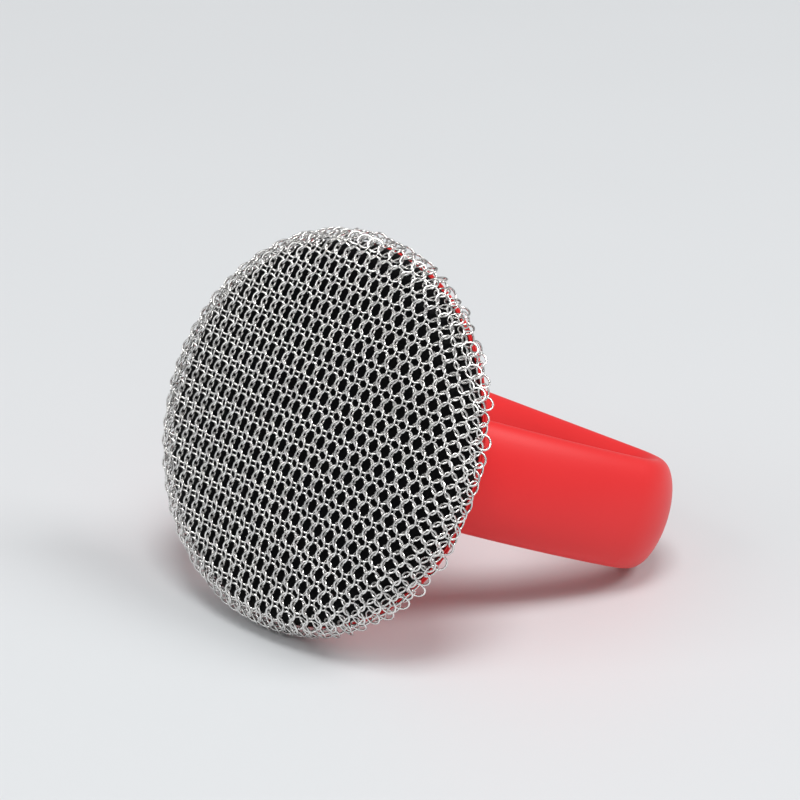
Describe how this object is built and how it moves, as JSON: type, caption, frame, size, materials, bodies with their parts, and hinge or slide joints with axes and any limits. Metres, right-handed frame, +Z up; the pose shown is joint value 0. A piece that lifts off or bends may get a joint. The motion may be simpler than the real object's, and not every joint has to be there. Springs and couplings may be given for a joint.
{
  "type": "pot scrubber",
  "caption": "Round pot scrubber with linked steel ring mail over a domed pad, on a moulded base with a wide loop handle for the fingers.",
  "frame": {"origin": "middle of the bounding box, on the surface that the scrubber lies on", "axes": "+X from the scrubbing face towards the bar of the handle, along the surface; +Y across the loop; +Z up"},
  "size_m": [0.1026, 0.097, 0.0862],
  "materials": {
    "handle": "red, soft-touch, fine matt grain",
    "pad": "black, fine pores, matt",
    "core": "dark grey, plain moulded",
    "screws": "bright zinc",
    "rings": "bright drawn stainless wire"
  },
  "bodies": {
    "root": {"scrub_pad": "pad", "core_plate": "core", "handle": "handle", "core_screws": "screws", "mail_row_01": "rings", "mail_row_02": "rings", "mail_row_03": "rings", "mail_row_04": "rings", "mail_row_05": "rings", "mail_row_06": "rings", "mail_row_07": "rings", "mail_row_08": "rings", "mail_row_09": "rings", "mail_row_10": "rings", "mail_row_11": "rings", "mail_row_12": "rings", "mail_row_13": "rings", "mail_row_14": "rings", "mail_row_15": "rings", "mail_row_16": "rings", "mail_row_17": "rings", "mail_row_18": "rings", "mail_row_19": "rings", "mail_row_20": "rings", "mail_row_21": "rings", "mail_row_22": "rings", "mail_row_23": "rings", "mail_row_24": "rings", "mail_row_25": "rings", "mail_row_26": "rings", "mail_row_27": "rings", "mail_row_28": "rings", "mail_row_29": "rings", "mail_row_30": "rings", "mail_row_31": "rings", "mail_row_32": "rings", "mail_row_33": "rings", "mail_row_34": "rings", "mail_row_35": "rings", "mail_row_36": "rings", "mail_row_37": "rings", "mail_row_38": "rings", "mail_row_39": "rings", "mail_row_40": "rings", "mail_row_41": "rings", "mail_row_42": "rings", "mail_row_43": "rings", "mail_row_44": "rings", "mail_row_45": "rings"}
  },
  "joints": []
}
